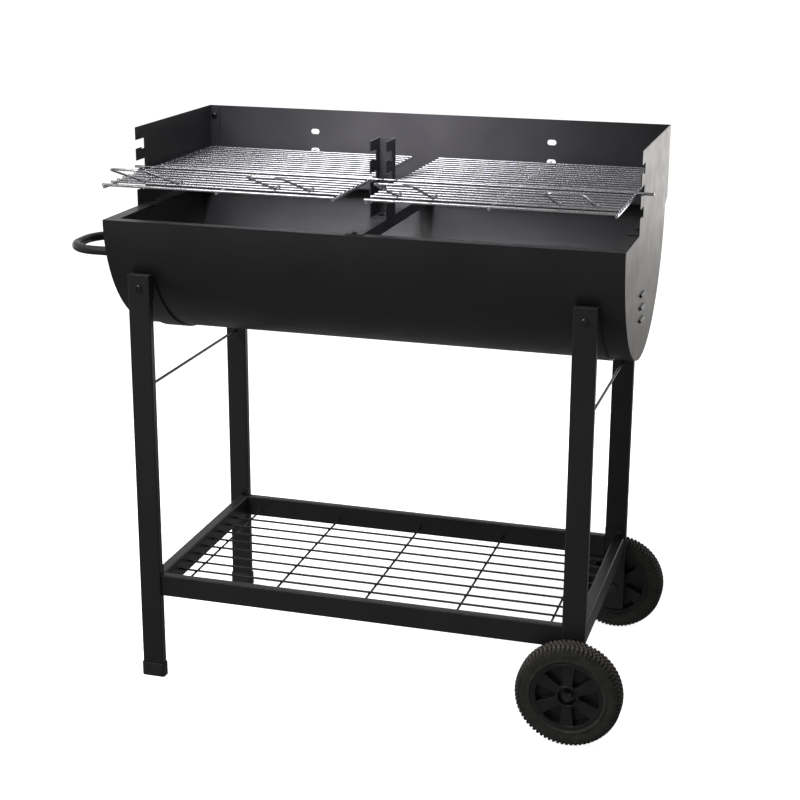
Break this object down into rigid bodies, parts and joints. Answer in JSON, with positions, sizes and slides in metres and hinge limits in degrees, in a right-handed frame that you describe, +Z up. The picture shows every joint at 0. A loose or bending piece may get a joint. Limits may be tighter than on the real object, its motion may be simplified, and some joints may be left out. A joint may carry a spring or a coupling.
{
  "type": "charcoal barrel grill",
  "caption": "Half-barrel charcoal grill with windshield, lift-off cooking grids, wire shelf, legs and trolley wheels",
  "frame": {"origin": "bottom centre of the whole grill's box, at ground level", "axes": "+X along the barrel towards the wheels, -Y towards the cook at the front, +Z up"},
  "size_m": [1.049, 0.6104, 0.99],
  "materials": {
    "black_paint": "semi-gloss black enamel",
    "chrome_wire": "bright plated wire",
    "grate_steel": "plain drawn wire",
    "black_zinc": "black zinc plated",
    "plastic": "matt black",
    "hub_plastic": "satin black",
    "tyre": "matt black rubber"
  },
  "bodies": {
    "frame": {"barrel_shell": "black_paint", "end_cap_left": "black_paint", "end_cap_right": "black_paint", "crossbar": "black_paint", "centre_post": "black_paint", "windshield_back": "black_paint", "windshield_side_left": "black_paint", "windshield_side_right": "black_paint", "leg_front_left": "black_paint", "leg_back_left": "black_paint", "leg_front_right": "black_paint", "leg_back_right": "black_paint", "leg_plug_front_left": "plastic", "leg_plug_back_left": "plastic", "leg_plug_front_right": "plastic", "leg_plug_back_right": "plastic", "foot_cap_front_left": "plastic", "foot_cap_back_left": "plastic", "saddle_strap_left": "black_paint", "saddle_strap_right": "black_paint", "tie_rod_left": "black_paint", "tie_rod_right": "black_paint", "shelf_rail_front": "black_paint", "shelf_rail_back": "black_paint", "shelf_rail_left": "black_paint", "shelf_rail_right": "black_paint", "shelf_wires": "black_paint", "side_handle": "black_paint", "side_handle_bolts": "black_zinc", "leg_bolts": "black_zinc", "leg_bolt_nuts": "black_zinc", "windshield_bolts": "black_zinc", "windshield_nuts": "black_zinc", "rim_bolts": "black_zinc", "rim_nuts": "black_zinc", "shelf_bolts": "black_zinc", "axle_bolts": "black_zinc", "axle_spacers": "black_zinc", "axle_washers": "black_zinc", "axle_nuts": "black_zinc"},
    "wheel_front": {"wheel_hub_front": "hub_plastic", "tyre_front": "tyre"},
    "wheel_back": {"wheel_hub_back": "hub_plastic", "tyre_back": "tyre"},
    "grid_left": {"cooking_grid_left": "chrome_wire", "support_rod_left": "chrome_wire", "grid_handle_1": "chrome_wire", "grid_handle_2": "chrome_wire"},
    "grid_right": {"cooking_grid_right": "chrome_wire", "support_rod_right": "chrome_wire", "grid_handle_3": "chrome_wire", "grid_handle_4": "chrome_wire"},
    "grate_left": {"charcoal_grate_left": "grate_steel"},
    "grate_right": {"charcoal_grate_right": "grate_steel"}
  },
  "joints": [
    {"name": "wheel_front_spin", "type": "hinge", "parent": "frame", "child": "wheel_front", "pos_m": [0.4325, -0.2116, 0.092], "axis": [0, 1, 0], "continuous": true},
    {"name": "wheel_back_spin", "type": "hinge", "parent": "frame", "child": "wheel_back", "pos_m": [0.4325, 0.2852, 0.092], "axis": [0, 1, 0], "continuous": true},
    {"name": "grid_left_lift_off", "type": "slide", "parent": "frame", "child": "grid_left", "axis": [0, -0.9397, 0.342], "range_m": [0, 0.45]},
    {"name": "grid_right_lift_off", "type": "slide", "parent": "frame", "child": "grid_right", "axis": [0, -0.9397, 0.342], "range_m": [0, 0.45]},
    {"name": "grate_left_lift", "type": "slide", "parent": "frame", "child": "grate_left", "axis": [0, 0, 1], "range_m": [0, 0.16]},
    {"name": "grate_right_lift", "type": "slide", "parent": "frame", "child": "grate_right", "axis": [0, 0, 1], "range_m": [0, 0.16]}
  ]
}
